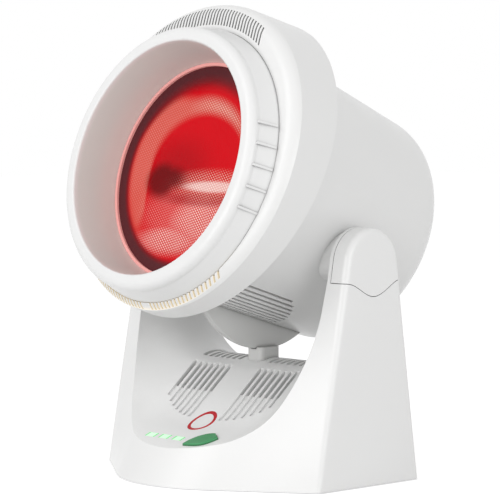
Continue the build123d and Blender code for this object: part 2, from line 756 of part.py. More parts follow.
def board_transformer():
    """Small transformer: coil block with its laminated core round it."""
    coil = on_power_board(TRANSFORMER_X, TRANSFORMER_Y, COIL_SIZE, 1.2)
    core = on_power_board(TRANSFORMER_X, TRANSFORMER_Y, CORE_SIZE, 0.8)
    return coil + core


def terminal_block():
    """Two-way screw terminal on the base plate, just inside the gland."""
    half_x, half_y = TERMINAL_HALF
    body = brick((-half_x, half_x), (-half_y, half_y), (0, TERMINAL_HEIGHT))
    body -= brick((-half_x, half_x), (half_y * 0.4, half_y), (TERMINAL_HEIGHT * 0.7, TERMINAL_HEIGHT))
    for x in (-TERMINAL_PITCH / 2, TERMINAL_PITCH / 2):
        body -= Pos(x, -half_y / 4, 0) * rod(TERMINAL_SCREW_R, TERMINAL_HEIGHT * 0.4, TERMINAL_HEIGHT)
        body -= Pos(x, 0, TERMINAL_HEIGHT * 0.3) * Rot(90, 0, 0) * Cylinder(TERMINAL_BORE_R, 4 * half_y)
    return Pos(GLAND_X, TERMINAL_Y, PLATE_Z + PLATE_T) * body


def gland_plane():
    """The cable gland's place on the leaning back wall, with the way out as local Z."""
    lean = radians(REAR_LEAN)
    spot = (GLAND_X, REAR_Y - GLAND_Z * tan(lean), GLAND_Z)
    return Plane(origin=spot, x_dir=(-1, 0, 0), z_dir=(0, cos(lean), sin(lean)))


def cable_gland():
    """Flanged grommet with an open bore for the mains lead."""
    gland = rod(GLAND_R, -WALL - GLAND_LIP_T, GLAND_PROUD)
    gland += rod(GLAND_R + GLAND_LIP, 0, GLAND_LIP_T)
    gland += rod(GLAND_R + GLAND_LIP, -WALL - GLAND_LIP_T, -WALL)
    gland -= rod(GLAND_BORE_R, -2 * GLAND_PROUD, 2 * GLAND_PROUD)
    return gland_plane() * gland


# ---------------------------------------------------------------- head mouldings
def barrel_form(inset, front=None):
    """Tapered barrel with a rounded back, as a solid."""
    front = BARREL_FRONT_W if front is None else front
    taper = (BARREL_FRONT_R - BARREL_REAR_R) / (BARREL_FRONT_W - BARREL_BACK_W)
    back = BARREL_BACK_W + inset
    rear_r = BARREL_REAR_R + taper * inset - inset
    front_r = BARREL_FRONT_R + taper * (front - BARREL_FRONT_W) - inset
    points = [(0, back), (rear_r, back), (front_r, front), (0, front)]
    return Pos(0, BARREL_U, 0) * turned(points, {1: BARREL_CORNER_R - inset})


def ring_form(inset):
    """Outer ring as a solid: a round hood between two leaning planes, with a soft front edge."""
    rear = leaning(RING_REAR_U, RING_REAR_W + inset, RING_REAR_LEAN)
    front = leaning(RING_FRONT_U, NOSE_W - inset, RING_FRONT_LEAN)
    radius = RING_FRONT_R - inset
    oval = rear * Ellipse(RING_REAR_HALF_X - inset, RING_REAR_HALF_U - inset)
    body = loft([oval, front * Circle(radius)], ruled=True)
    wide = radius + FAR * RING_FLARE
    rounded = turned([(0, -FAR), (wide, -FAR), (radius, 0), (0, 0)], {2: RING_EDGE_R - inset})
    return body & (front * rounded)


def slab(low, high):
    """Everything between two planes parallel to the ring's back."""
    block = brick((-FAR, FAR), (-FAR, FAR), (low, high))
    return leaning(RING_REAR_U, RING_REAR_W, RING_REAR_LEAN) * block


def ring_screw_places():
    """Four places on the ring's back, spread about the barrel's axis, with the way in as local Z."""
    back = leaning(RING_REAR_U, RING_REAR_W, RING_REAR_LEAN)
    places = []
    for index in range(4):
        angle = radians(45 + 90 * index)
        x, y = RING_SCREW_R * cos(angle), RING_SCREW_R * sin(angle) + BARREL_U - RING_REAR_U
        places.append(back * Pos(x, y, 0))
    return places


def belly_slots():
    """Blades for the rows of vents under the barrel; their rear ends lie on an oval."""
    blades = []
    for index in range(BELLY_SLOT_COUNT):
        angle = BELLY_SLOT_FIRST + BELLY_SLOT_STEP * index
        reach = sqrt(1 - (angle / BELLY_OVAL_ANGLE) ** 2)
        rear = BELLY_OVAL_W - BELLY_OVAL_LENGTH * reach
        blade = brick((-BELLY_SLOT_WIDTH / 2, BELLY_SLOT_WIDTH / 2), (-FAR, 0), (rear, BELLY_SLOT_FRONT_W))
        for turn in (angle, -angle):
            blades.append(Pos(0, BARREL_U, 0) * Rot(0, 0, turn) * blade)
    return blades


def back_slots():
    blades = []
    for index in range(BACK_SLOT_COUNT):
        u = (index - (BACK_SLOT_COUNT - 1) / 2) * BACK_SLOT_PITCH
        half = sqrt(BACK_VENT_R**2 - u**2)
        high = (u - BACK_SLOT_WIDTH / 2, u + BACK_SLOT_WIDTH / 2)
        blade = brick((-half, half), high, (BARREL_BACK_W - WALL, BARREL_BACK_W + 2 * WALL))
        blades.append(Pos(0, BARREL_U, 0) * blade)
    return blades


def rear_housing():
    """Barrel of the head: tapered shell, closed back with vents, clamping flange and trunnion pads."""
    inside = barrel_form(WALL, FAR)
    body = barrel_form(0, FAR) - slab(2 * WALL, 3 * FAR)
    body += barrel_form(-BARREL_FLANGE, FAR) & slab(WALL, 2 * WALL)
    body -= inside
    body += both_sides(x_rod(TRUNNION_PAD_R, TRUNNION_SEAT_X, TRUNNION_PAD_X))
    body -= axle(TRUNNION_SHAFT_R + PIN_FIT, 4 * TRUNNION_PAD_X)
    body -= belly_slots()
    body -= back_slots()
    for place in ring_screw_places():
        body -= place * rod(SMALL_SCREW_R, 0, 4 * WALL)
    for w in KEEL_SCREW_W:
        body -= Pos(0, 0, w) * Rot(90, 0, 0) * rod(SMALL_SCREW_R + LOOSE_FIT, 0, FAR)
    return body


def crown_slots():
    """Blades for the fine upright slots over the top of the ring."""
    crescent = Pos(0, RING_FRONT_U) * Circle(RING_FRONT_R - CROWN_OUTER_MARGIN)
    crescent -= Pos(0, NOSE_U) * Circle(NOSE_FOOT_R + CROWN_INNER_MARGIN)
    blades = []
    for index in range(CROWN_SLOT_COUNT):
        x = (index - (CROWN_SLOT_COUNT - 1) / 2) * CROWN_SLOT_PITCH
        strip = Pos(x, NOSE_U + FAR / 2) * Rectangle(CROWN_SLOT_WIDTH, FAR)
        blades.append(Pos(0, 0, NOSE_W - 2 * RING_EDGE_R) * extrude(crescent & strip, amount=FAR))
    return blades


def chin_slots():
    """Blades that notch the lower lip of the ring beside the bezel."""
    band = tube(NOSE_FOOT_R + CHIN_SLOT_DEPTH, NOSE_FOOT_R - 1, -CHIN_SLOT_BACK, RING_EDGE_R)
    blades = []
    for index in range(CHIN_SLOT_COUNT):
        x = CHIN_SLOT_FIRST_X + CHIN_SLOT_PITCH * index
        strip = brick((x - CHIN_SLOT_WIDTH / 2, x + CHIN_SLOT_WIDTH / 2), (-FAR, 0), (-FAR, FAR))
        notch = NOSE * (band & strip)
        blades += both_sides(notch)
    return blades


def outer_ring():
    """Vented hood that joins the barrel to the front bezel."""
    body = ring_form(0) - ring_form(WALL)
    body -= barrel_form(-LOOSE_FIT, BARREL_FRONT_W + 4 * WALL)
    body -= NOSE * rod(NOSE_FOOT_R + LOOSE_FIT, -2 * NOSE_SKIRT, FAR)
    body -= crown_slots()
    body -= chin_slots()
    for place in ring_screw_places():
        body -= place * rod(SMALL_SCREW_R + LOOSE_FIT, -WALL, 2 * WALL)
    return body


def throat_s():
    """Where the funnel ends and the glass's seal begins, along the nose axis."""
    return NOSE_LENGTH - THROAT_DEPTH


def glass_front_s():
    return throat_s() - SEAL_T


def glass_back_s():
    return glass_front_s() - GLASS_T


def bezel_profile():
    """Section of the front bezel: funnel, rim, conical side and skirt."""
    bend = NOSE_LENGTH - NOSE_EDGE_R - 1
    return [
        (THROAT_R, throat_s()),
        (MOUTH_R, NOSE_LENGTH),
        (NOSE_SHOULDER_R, NOSE_LENGTH),
        (NOSE_SHOULDER_R, bend),
        (NOSE_FOOT_R, 0),
        (NOSE_FOOT_R, -NOSE_SKIRT),
        (NOSE_FOOT_R - WALL, -NOSE_SKIRT),
        (NOSE_FOOT_R - WALL, 0),
        (NOSE_SHOULDER_R - WALL, bend),
        (NOSE_SHOULDER_R - WALL, NOSE_LENGTH - WALL),
        (MOUTH_R + WALL, NOSE_LENGTH - WALL),
        (THROAT_R + WALL, throat_s()),
    ]


def bezel_flange():
    """Flange on the skirt that lies against the inside of the ring's front wall."""
    front = leaning(RING_FRONT_U, NOSE_W, RING_FRONT_LEAN)
    layer = front * brick((-FAR, FAR), (-FAR, FAR), (-2 * WALL, -WALL))
    hoop = NOSE * tube(NOSE_FOOT_R + NOSE_FLANGE, NOSE_FOOT_R - WALL / 2, -FAR, FAR)
    return layer & hoop & ring_form(WALL + PIN_FIT)


def front_bezel():
    """Funnel, rim and side of the nose in one moulding, with grip ribs and bosses behind the rim."""
    body = turned(bezel_profile(), {1: MOUTH_EDGE_R, 2: NOSE_EDGE_R, 9: NOSE_EDGE_R - WALL})
    for angle in CLIP_ANGLES:
        place = Rot(0, 0, angle) * Pos(CLIP_SCREW_R, 0, 0)
        body += place * rod(CLIP_BOSS_R, glass_back_s(), NOSE_LENGTH - WALL / 2)
        body -= place * rod(SMALL_SCREW_R, glass_back_s(), glass_back_s() + CLIP_SCREW_LENGTH)
    for index in range(RIB_COUNT):
        angle = RIB_FIRST_ANGLE + RIB_PITCH * index
        rib = turned(rib_envelope()) & brick((0, FAR), (-RIB_T / 2, RIB_T / 2), RIB_SPAN)
        body += [Rot(0, 0, turn) * rib for turn in (angle, 180 - angle)]
    return NOSE * body + bezel_flange()


def rib_envelope():
    """Section that the grip ribs stay within: they stand taller towards the nose's rim."""
    inner = NOSE_SHOULDER_R - WALL / 2
    low, high = RIB_SPAN
    return [
        (inner, low),
        (NOSE_FOOT_R + RIB_FOOT_HEIGHT, low),
        (NOSE_SHOULDER_R + RIB_HEAD_HEIGHT, high),
        (inner, high),
    ]


# ---------------------------------------------------------------- head inner parts
def glass_seal():
    return NOSE * tube(GLASS_R, SEAL_INNER_R, glass_front_s(), throat_s())


def filter_glass():
    pane = rod(GLASS_R, glass_back_s(), glass_front_s())
    return NOSE * chamfer(pane.edges().filter_by(GeomType.CIRCLE), GLASS_CHAMFER)


def reflector_form(inset):
    """Bowl of the reflector as a solid, its floor flat and its side a wide arc."""
    mouth = reflector_seat()
    floor = mouth - REFLECTOR_DEPTH
    side = ThreePointArc(
        (REFLECTOR_FLOOR_R - inset, floor + inset),
        (REFLECTOR_WAIST_R - inset, (mouth + floor) / 2),
        (REFLECTOR_RIM_R - inset, mouth),
    )
    lines = Polyline(
        (REFLECTOR_RIM_R - inset, mouth),
        (0, mouth),
        (0, floor + inset),
        (REFLECTOR_FLOOR_R - inset, floor + inset),
    )
    return revolve(make_face(Plane.XZ * (side + lines)), Axis.Z)


def reflector_seat():
    """Back of the glass, where the reflector's rim lies."""
    return glass_back_s() - PIN_FIT


def reflector():
    """Spun bowl with a flat rim and a window each side for the lamp's ends."""
    seat = reflector_seat()
    bowl = reflector_form(0) - reflector_form(SHEET)
    bowl += tube(GLASS_R - LOOSE_FIT, REFLECTOR_RIM_R - SHEET, seat - SHEET, seat)
    bowl -= Pos(0, 0, tube_s()) * axle(CERAMIC_R + RUN_GAP, FAR)
    return NOSE * bowl


def tube_s():
    return reflector_seat() - TUBE_BEHIND_GLASS


def heating_lamp():
    """Quartz tube across the reflector with pinched ends."""
    lamp = axle(TUBE_R, TUBE_LENGTH)
    lamp = fillet(lamp.edges().filter_by(GeomType.CIRCLE), TUBE_R / 2)
    lamp += Box(TUBE_LENGTH + 2 * PINCH_LENGTH, PINCH_WIDTH, PINCH_T)
    return NOSE * (Pos(0, 0, tube_s()) * lamp)


def lamp_holder():
    """Ceramic end piece of the lamp, slotted for the pinched end."""
    start = TUBE_LENGTH / 2 + PIN_FIT
    holder = x_rod(CERAMIC_R, start, start + CERAMIC_LENGTH)
    holder = chamfer(holder.edges().filter_by(GeomType.CIRCLE), CERAMIC_CHAMFER)
    high, deep = PINCH_WIDTH / 2 + PIN_FIT, PINCH_T / 2 + PIN_FIT
    holder -= brick((0, start + PINCH_LENGTH + LOOSE_FIT), (-high, high), (-deep, deep))
    return NOSE * (Pos(0, 0, tube_s()) * holder)


def lamp_bracket():
    """Bent strip that carries a ceramic end piece on the reflector's back."""
    start = TUBE_LENGTH / 2 + PIN_FIT + CERAMIC_LENGTH
    low = reflector_seat() - SHEET
    arm = brick((start, start + SHEET), (-BRACKET_HALF, BRACKET_HALF), (tube_s() - CERAMIC_R, low))
    tab = brick((REFLECTOR_RIM_R + SHEET, start), (-BRACKET_HALF, BRACKET_HALF), (low - SHEET, low))
    return NOSE * (arm + tab)


def glass_clips():
    """Four spring clips on the bezel's bosses that hold glass and reflector."""
    seat, boss = reflector_seat() - SHEET, glass_back_s()
    clips = []
    for angle in CLIP_ANGLES:
        finger = brick((GLASS_R - CLIP_REACH, GLASS_R), (-CLIP_HALF, CLIP_HALF), (seat - CLIP_T, seat))
        foot = brick((GLASS_R, CLIP_SCREW_R + CLIP_HALF), (-CLIP_HALF, CLIP_HALF), (boss - CLIP_T, boss))
        web = brick((GLASS_R, GLASS_R + CLIP_T), (-CLIP_HALF, CLIP_HALF), (seat - CLIP_T, boss))
        foot -= Pos(CLIP_SCREW_R, 0, 0) * rod(SMALL_SCREW_R + LOOSE_FIT, -FAR, FAR)
        clips.append(NOSE * (Rot(0, 0, angle) * (finger + foot + web)))
    return clips


def clip_screws():
    top = glass_back_s() - CLIP_T
    screw = rod(SMALL_HEAD_R, top - SMALL_HEAD_T, top)
    screw += rod(SMALL_SCREW_R - PIN_FIT, top, glass_back_s() + CLIP_SCREW_LENGTH - 1)
    return [NOSE * (Rot(0, 0, angle) * Pos(CLIP_SCREW_R, 0, 0) * screw) for angle in CLIP_ANGLES]


def thermal_cutout():
    """Button thermostat on the reflector's back with its two tabs."""
    floor = reflector_seat() - REFLECTOR_DEPTH
    back = floor - CUTOUT_T
    body = rod(CUTOUT_R, back, floor)
    body += rod(CUTOUT_R * 0.7, back - 2 * SHEET, back)
    for x in (-CUTOUT_R * 0.45, CUTOUT_R * 0.45):
        body += brick((x - SHEET / 2, x + SHEET / 2), (-2.5, 2.5), (back - CUTOUT_TAB_LENGTH, back))
    return NOSE * body


# ---------------------------------------------------------------- tilt mechanism
def tilt_keel():
    """Sector under the barrel, round about the tilt axis, that runs in the post's fork."""
    disc = axle(KEEL_R, KEEL_T)
    disc = fillet(disc.edges().filter_by(GeomType.CIRCLE), KEEL_EDGE_R)
    keel = disc - barrel_form(-PIN_FIT)
    keel &= brick((-KEEL_T, KEEL_T), (-FAR, -barrel_bottom(BARREL_BACK_W)), (-FAR, FAR))
    for w in KEEL_SCREW_W:
        keel -= Pos(0, 0, w) * Rot(90, 0, 0) * rod(SMALL_SCREW_R, 0, barrel_bottom(w) + KEEL_SCREW_BITE)
    return keel


def barrel_bottom(w):
    """How far the barrel's underside lies below the tilt axis at w."""
    taper = (BARREL_FRONT_R - BARREL_REAR_R) / (BARREL_FRONT_W - BARREL_BACK_W)
    return BARREL_REAR_R + taper * (w - BARREL_BACK_W) - BARREL_U


def keel_screws():
    """Screws from inside the barrel into the keel."""
    screws = []
    for w in KEEL_SCREW_W:
        seat = barrel_bottom(w) - WALL - LOOSE_FIT
        screw = rod(SMALL_HEAD_R, seat - SMALL_HEAD_T, seat)
        screw += rod(SMALL_SCREW_R - PIN_FIT, seat, barrel_bottom(w) + KEEL_SCREW_BITE - 1)
        screws.append(Pos(0, 0, w) * Rot(90, 0, 0) * screw)
    return screws


def trunnion():
    """Stepped pin: threaded end inside the barrel, flange on its pad, shaft through the bush."""
    flange_end = SADDLE_HALF_WIDTH - BUSH_FLANGE_T - RUN_GAP
    pin = x_rod(TRUNNION_SHAFT_R - PIN_FIT, TRUNNION_SEAT_X - NUT_T - 1, TRUNNION_END_X)
    pin += x_rod(TRUNNION_FLANGE_R, TRUNNION_PAD_X, flange_end)
    return pin


def hex_nut(start):
    nut = Pos(0, 0, start) * extrude(RegularPolygon(NUT_R, 6), amount=NUT_T)
    return Plane.YZ * (nut - rod(TRUNNION_SHAFT_R, 0, FAR))


def pivot_washer():
    start = BUSH_END_X + RUN_GAP
    return x_rod(WASHER_R, start, start + WASHER_T) - x_rod(TRUNNION_SHAFT_R + PIN_FIT, 0, FAR)


def pivot_nut():
    return hex_nut(BUSH_END_X + RUN_GAP + WASHER_T)


def inner_nut():
    return hex_nut(TRUNNION_SEAT_X - NUT_T)


def ring_screws():
    screw = rod(SMALL_HEAD_R, -SMALL_HEAD_T, 0) + rod(SMALL_SCREW_R - PIN_FIT, 0, 2 * WALL - LOOSE_FIT)
    return [place * screw for place in ring_screw_places()]


# ---------------------------------------------------------------- the lamp
def base_parts():
    shell = base_shell()
    cover = pivot_cover(shell)
    bush = bearing_bush()
    return {
        "base_housing": base_housing(shell),
        "pivot_cover_right": cover,
        "pivot_cover_left": mirror(cover, Plane.YZ),
        "base_plate": base_plate(),
        "rubber_feet": rubber_feet(),
        "base_screws": base_screws(),
        "bearing_bush_right": bush,
        "bearing_bush_left": mirror(bush, Plane.YZ),
        "brake_post": brake_post(),
        "brake_pad": brake_pad(),
        "post_screws": post_screws(),
        "control_board": control_board(),
        "board_screws": board_screws(),
        "light_guides": light_guides(),
        "status_leds": status_leds(),
        "tact_switch": tact_switch(),
        "push_button": push_button(),
        "marker_ring": marker_band(PIN_FIT),
        "power_board": power_board(),
        "power_screws": power_screws(),
        "power_relay": on_power_board(RELAY_X, RELAY_Y, RELAY_SIZE, 0.8),
        "board_transformer": board_transformer(),
        "terminal_block": terminal_block(),
        "cable_gland": cable_gland(),
    }


def head_parts():
    pin = trunnion()
    return {
        "rear_housing": rear_housing(),
        "outer_ring": outer_ring(),
        "front_bezel": front_bezel(),
        "glass_seal": glass_seal(),
        "filter_glass": filter_glass(),
        "glass_clips": glass_clips(),
        "clip_screws": clip_screws(),
        "reflector": reflector(),
        "heating_lamp": heating_lamp(),
        "lamp_holders": both_sides(lamp_holder()),
        "lamp_brackets": both_sides(lamp_bracket()),
        "thermal_cutout": thermal_cutout(),
        "tilt_keel": tilt_keel(),
        "keel_screws": keel_screws(),
        "trunnion_right": pin,
        "trunnion_left": mirror(pin, Plane.YZ),
        "trunnion_nuts": both_sides(inner_nut()),
        "pivot_washers": both_sides(pivot_washer()),
        "pivot_nuts": both_sides(pivot_nut()),
        "ring_screws": ring_screws(),
    }


def save(name, pieces, place):
    """Write one node, a single shape or a set of like pieces, moved to its place in the lamp."""
    if isinstance(pieces, list):
        shape = Compound(children=[place * piece for piece in pieces])
    else:
        shape = place * pieces
    export_step(shape, f"parts/{name}.step")


def main():
    os.makedirs("parts", exist_ok=True)
    centred = Pos(0, -DEPTH_CENTRE_Y, 0)
    for name, pieces in base_parts().items():
        save(name, pieces, centred)
    for name, pieces in head_parts().items():
        save(name, pieces, centred * HEAD.location)


main()
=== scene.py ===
import json
from math import cos, pi, radians, sin

import bpy
from mathutils import Matrix, Vector

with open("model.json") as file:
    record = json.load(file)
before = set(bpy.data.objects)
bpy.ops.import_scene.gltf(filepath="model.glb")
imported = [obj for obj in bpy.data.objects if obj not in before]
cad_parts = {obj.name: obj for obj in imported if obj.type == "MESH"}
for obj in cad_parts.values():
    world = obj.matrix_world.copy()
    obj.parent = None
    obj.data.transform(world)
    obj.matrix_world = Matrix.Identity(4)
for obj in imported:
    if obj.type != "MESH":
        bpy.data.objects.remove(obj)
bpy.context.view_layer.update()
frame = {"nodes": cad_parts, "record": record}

# The lamp's shapes are all CAD solids. This script gives them their finishes, a studio and a camera.
# Places on the head are in its nose's frame, in mm: x across, y up and s forward along the nose.

MM = 0.001


def rgb(r, g, b):
    return (r, g, b, 1.0)


# ---------------------------------------------------------------- sizes shared with the solids (mm, degrees)
CENTRE_Y = 3.19  # the drawing's frame lies this far in front of the lamp's
PIVOT = Vector((0, 7.5 - CENTRE_Y, 133.0))
HEAD_TILT = 19.9
NOSE_U, NOSE_W, NOSE_DROOP = 26.3, 85.0, 3.6
LED_FIRST_X, LED_PITCH = -21.3, 11.9

# ---------------------------------------------------------------- surface detail and painted crease shade
DRIFT_SCALE = 9.0  # slow drift of tone, waves in a metre
GLOSS_SCALE = 60.0  # uneven gloss
GRAIN_SCALE = 1800.0  # spark texture of a mould
GRAIN_HEIGHT = 0.0002
CREASE_REACH = 3.0  # mm off another wall that still shade a crease
CREASE_DEPTH = 0.4  # tone of the painted shade at the bottom of a crease
CREASE_OPEN = 0.9  # how open a place is, from 0 to 1, where its shade ends
CREASE_SHUT = 0.25  # the share of that openness at which the shade is deepest
COAT_ROUGH = 0.25

# ---------------------------------------------------------------- colours and places on the head
BEZEL_WHITE = (rgb(0.775, 0.775, 0.772), rgb(0.80, 0.80, 0.797))
RING_WHITE = (rgb(0.775, 0.775, 0.77), rgb(0.80, 0.80, 0.795))
FRONT_FINISH = (0.30, 0.12, 0.45, 0.02)  # roughness, coat, specular level and grain
# the funnel's painted shade, and the painted pink light that the glass throws beside it
FUNNEL_SHADE = rgb(0.645, 0.68, 0.65)
FUNNEL_PINK_LIGHT = rgb(0.78, 0.70, 0.665)
FUNNEL_R = (72.2, 70.9)  # the funnel's painted shade starts and is full here
FUNNEL_S = (17.6, 13.0)
FUNNEL_NEAR_S = (6.0, -12.5)  # from the far painted shade to the painted pink light beside the glass
# painted amber glow, standing in for the lamp's light that leaks out through the chin slots
PAINTED_LAMP_AMBER = rgb(1.0, 0.76, 0.38)
SKIRT_Y = (-40.0, -78.0)  # the bezel's part behind the chin slots, painted with the lamp's amber glow
SKIRT_S = (-2.0, -9.0)
SKIRT_R = 78.0
SKIRT_GLOW = 0.9
SLOT_R = (87.2, 86.9)  # the chin slots' walls, painted with the lamp's amber glow
SLOT_Y = (-44.0, -56.0)
SLOT_S = -6.2
SLOT_FACING = (0.75, 0.35)  # how much a face may look forward
SLOT_GLOW = 0.35

# ---------------------------------------------------------------- what shows through the glass, painted: reflector light, tube highlight, shade
RED = rgb(0.55, 0.001, 0.006)
RED_LIGHT = rgb(0.62, 0.003, 0.009)
PAINTED_SHADE_RED = rgb(0.25, 0.002, 0.005)
WALL_REFLECTION_ORANGE = rgb(0.60, 0.075, 0.055)
PALE_HIGHLIGHT = rgb(0.74, 0.44, 0.37)
BOWL_FLOOR_LIGHT = rgb(0.82, 0.54, 0.49)
TUBE_HIGHLIGHT = rgb(0.84, 0.66, 0.61)
HOLDER_SHADE_RED = rgb(0.10, 0.002, 0.003)
BORDER_INNER = rgb(0.22, 0.006, 0.010)
BORDER = rgb(0.092, 0.020, 0.024)
STIPPLE_PITCH = 1.55
STIPPLE_ANGLES = (47.0, -13.0, -73.0)
BOWL_X, BOWL_Y = 3.0, -3.0
BOWL_ACROSS, BOWL_UP, BOWL_DOWN = 41.0, 36.5, 75.0
WALL_R = (44.5, 55.0)  # the painted bright wall's outer edge, above and below, then at the sides
WALL_EDGE = 4.0
WALL_LEFT_X, WALL_RIGHT_X = (-6.0, -38.0), (36.0, 46.0)  # where the sides start and are full
WALL_BLUR_UP = (-6.0, 24.0, 0.06, 0.20)  # the inner edge's blur: from height to height, from blur to blur
WALL_BLUR_DOWN = (-22.0, -44.0, 0.0, 0.25)
RIDGE_LEFT_X, RIDGE_RIGHT_X, RIDGE_Y = (-36.0, 22.0), (50.0, 30.0), (-46.0, 0.0)
BORDER_R = (53.5, 47.0)  # the border's inner edge, below, then at the top
BORDER_EDGE = (4.0, 9.0)  # its softness there
BORDER_TOP_Y = (15.0, 50.0)  # between these heights it turns from one to the other
# soft ellipses of painted light and shade: centre, half sizes, softness
BOWL_SHADE = ((-14.0, 1.0), (24.0, 17.0), 1.4)
CRESCENT = ((-9.0, -43.0), (25.0, 8.0), 1.0)
FLOOR_RIGHT = ((17.0, -30.0), (27.0, 14.0), 1.1)
FLOOR_LEFT = ((-12.0, -27.0), (26.0, 13.0), 1.0)
TUBE_SHADE = ((12.0, -17.5), (32.0, 4.0), 1.0)
TUBE_HALO = ((20.0, -8.5), (33.0, 8.0), 0.9)
TUBE = ((21.5, -9.7), (24.0, 3.2), 0.8)
HOLDER_LEFT = ((-25.5, -6.5), (12.5, 10.0), 0.8)
HOLDER_SHADE = ((-18.0, -5.0), (12.0, 6.5), 1.3)
HOLDER_RIGHT = ((48.0, -8.0), (7.5, 8.5), 0.9)

# ---------------------------------------------------------------- studio and camera
WHITE = (1, 1, 1, 1)
FLOOR_SIZE = 12.0
FLOOR_GLOW = 0.50
FLOOR_LIT = rgb(0.78, 0.78, 0.78)
FLOOR_COLOUR = rgb(0.75, 0.75, 0.75)
WORLD_SEEN = 1.0
WORLD_LIGHT = 0.66
LIGHT_AIM = Vector((0, 0, 0.15))
LIGHTS = {  # place, size and power
    "key": ((-0.35, -1.25, 1.15), (0.9, 0.9), 4.8),
    "front": ((0.1, -1.5, 0.35), (1.0, 0.6), 5.2),
    "right": ((1.5, -0.3, 0.5), (1.0, 0.9), 6.2),
}
CAMERA_AZ, CAMERA_EL, CAMERA_DIST = radians(46.93), radians(2.397), 1.41805
CAMERA_AIM = Vector((0, (-3.3 - CENTRE_Y) * MM, 153.4 * MM))
CAMERA_LENS, CAMERA_SENSOR = 168.94, 36.0
CAMERA_SHIFT = (-0.0012, -0.0641)


def head_matrix():
    """From the head's own frame (X across, Y up, Z forward, mm) to the lamp's frame in mm."""
    tilt = radians(HEAD_TILT)
    rows = Matrix(((1, 0, 0), (0, sin(tilt), -cos(tilt)), (0, cos(tilt), sin(tilt)))).to_4x4()
    return Matrix.Translation(PIVOT) @ rows


def nose_matrix():
    """From the nose's frame to the lamp's frame in mm."""
    droop = Matrix.Rotation(radians(NOSE_DROOP), 4, "X")
    return head_matrix() @ Matrix.Translation((0, NOSE_U, NOSE_W)) @ droop


# ---------------------------------------------------------------- node helpers
class Nodes:
    """Small helper for building a material's node tree."""

    def __init__(self, name):
        self.mat = bpy.data.materials.new(name)
        self.mat.use_nodes = True
        self.tree = self.mat.node_tree
        self.tree.nodes.clear()
        self.out = self.add("ShaderNodeOutputMaterial")
        self.bsdf = self.add("ShaderNodeBsdfPrincipled")
        self.link(self.bsdf.outputs["BSDF"], self.out.inputs["Surface"])

    def add(self, kind, **settings):
        node = self.tree.nodes.new(kind)
        for key, value in settings.items():
            setattr(node, key, value)
        return node

    def link(self, a, b):
        self.tree.links.new(a, b)

    def feed(self, socket, value):
        """Links a socket's value, or writes a plain one."""
        if isinstance(value, bpy.types.NodeSocket):
            self.link(value, socket)
        else:
            socket.default_value = value

    def surface(self, **values):
        """Feeds the shader's sockets; an underscore stands for a space in their names."""
        for key, value in values.items():
            self.feed(self.bsdf.inputs[key.replace("_", " ")], value)

    def coords(self, kind="Object"):
        return self.add("ShaderNodeTexCoord").outputs[kind]

    def noise(self, scale, detail=3.0, rough=0.5, vector=None):
        node = self.add("ShaderNodeTexNoise")
        node.inputs["Scale"].default_value = scale
        node.inputs["Detail"].default_value = detail
        node.inputs["Roughness"].default_value = rough
        self.link(vector if vector else self.coords(), node.inputs["Vector"])
        return node.outputs["Fac"]

    def ramp(self, fac, low, high):
        """A colour ramp between two stops, each a position and a colour."""
        node = self.add("ShaderNodeValToRGB")
        for element, (position, colour) in zip(node.color_ramp.elements, (low, high)):
            element.position = position
            element.color = colour
        self.link(fac, node.inputs["Fac"])
        return node.outputs["Color"]

    def map_range(self, value, a, b, c=0.0, d=1.0, kind="LINEAR"):
        """Maps a to c and b to d, and holds c and d beyond them."""
        node = self.add("ShaderNodeMapRange", interpolation_type=kind)
        for index, number in enumerate((value, a, b, c, d)):
            self.feed(node.inputs[index], number)
        return node.outputs[0]

    def smooth(self, value, a, b, c=0.0, d=1.0):
        return self.map_range(value, a, b, c, d, "SMOOTHSTEP")

    def mix(self, fac, a, b, blend="MIX"):
        node = self.add("ShaderNodeMix", data_type="RGBA", blend_type=blend)
        for index, value in ((0, fac), (6, a), (7, b)):
            self.feed(node.inputs[index], value)
        return node.outputs[2]

    def math(self, operation, *values):
        node = self.add("ShaderNodeMath", operation=operation)
        for socket, value in zip(node.inputs, values):
            self.feed(socket, value)
        return node.outputs[0]

    def times(self, first, *others):
        for other in others:
            first = self.math("MULTIPLY", first, other)
        return first

    def most(self, first, *others):
        for other in others:
            first = self.math("MAXIMUM", first, other)
        return first

    def ratio(self, value, start, size):
        """How many sizes a value lies past a start."""
        return self.math("DIVIDE", self.math("SUBTRACT", value, start), size)

    def length(self, x, y):
        return self.math("SQRT", self.math("ADD", self.times(x, x), self.times(y, y)))

    def bump(self, height, strength, distance=GRAIN_HEIGHT):
        node = self.add("ShaderNodeBump")
        node.inputs["Strength"].default_value = strength
        node.inputs["Distance"].default_value = distance
        self.link(height, node.inputs["Height"])
        self.link(node.outputs["Normal"], self.bsdf.inputs["Normal"])


def scaled(colour, factor):
    return tuple(min(1.0, c * factor) for c in colour[:3]) + (1.0,)


def painted_crease_shade(n, colour, depth=CREASE_DEPTH, open_at=CREASE_OPEN):
    """Darkens a colour with painted shade in slots and creases, where shade gathers; shallow grooves
    stay clear where open_at is low."""
    hollow = n.add("ShaderNodeAmbientOcclusion", samples=8)
    hollow.inputs["Distance"].default_value = CREASE_REACH * MM
    shade = n.map_range(hollow.outputs["AO"], CREASE_SHUT * open_at, open_at, depth, 1.0)
    return n.mix(1.0, colour, shade, "MULTIPLY")


def moulded(n, rough, coat, specular, grain):
    """A moulding's finish: a little uneven gloss, a thin coat and a fine spark texture."""
    # a roughness that crosses 0.274 draws hairlines when the picture is denoised
    gloss = n.map_range(n.noise(GLOSS_SCALE, 4.0), 0.3, 0.7, rough - 0.02, rough + 0.05)
    n.surface(Roughness=gloss, Coat_Weight=coat, Coat_Roughness=COAT_ROUGH, Specular_IOR_Level=specular)
    if grain:
        n.bump(n.noise(GRAIN_SCALE, 2.0, 0.6), grain)


